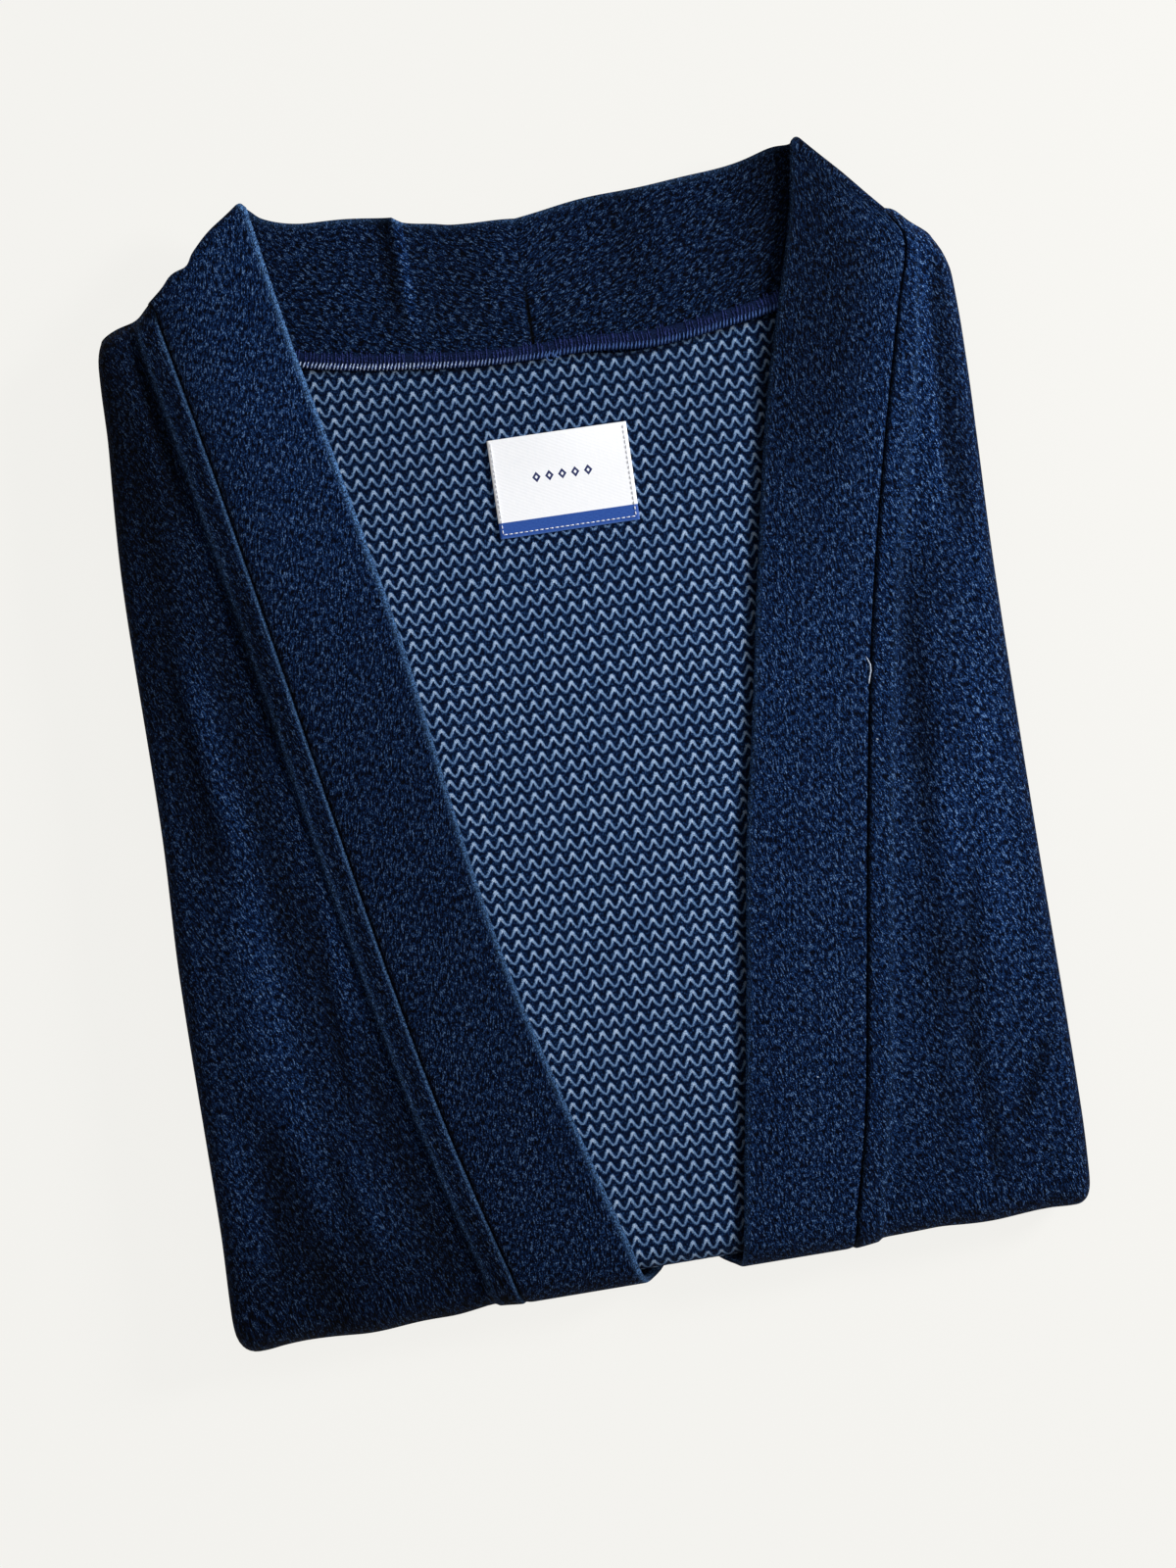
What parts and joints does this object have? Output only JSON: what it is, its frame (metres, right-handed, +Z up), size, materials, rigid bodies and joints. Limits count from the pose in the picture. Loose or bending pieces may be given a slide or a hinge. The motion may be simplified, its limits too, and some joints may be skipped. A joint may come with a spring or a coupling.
{
  "type": "folded haori jacket",
  "caption": "Open-fronted haori jacket of thick indigo sashiko knit with a plain collar band, folded into a flat packet and laid on its back.",
  "frame": {"origin": "under the middle of the folded packet, on the surface it lies on", "axes": "+X across the packet to the left front's right-hand neighbour, the right-hand front as seen from above; +Y along the body from the bottom fold to the collar; +Z up, out of the surface"},
  "size_m": [0.353, 0.4526, 0.0318],
  "materials": {
    "indigo_knit": "matte slubby sashiko knit, pale flecks on deep indigo",
    "knit_inside": "matte knit back, pale blue zigzag floats on navy",
    "overlock_thread": "fine violet-navy overlock stitches",
    "satin_label": "white woven satin with a blue edge stripe",
    "sewing_thread": "white and navy sewing thread"
  },
  "bodies": {
    "root": {"front_left": "indigo_knit", "front_right": "indigo_knit", "back_panel": "knit_inside", "collar_left": "indigo_knit", "collar_right": "indigo_knit", "neck_overlock": "overlock_thread", "neck_label": "satin_label", "sleeve_left": "indigo_knit", "sleeve_right": "indigo_knit", "hidden_layers": "indigo_knit"}
  },
  "joints": []
}
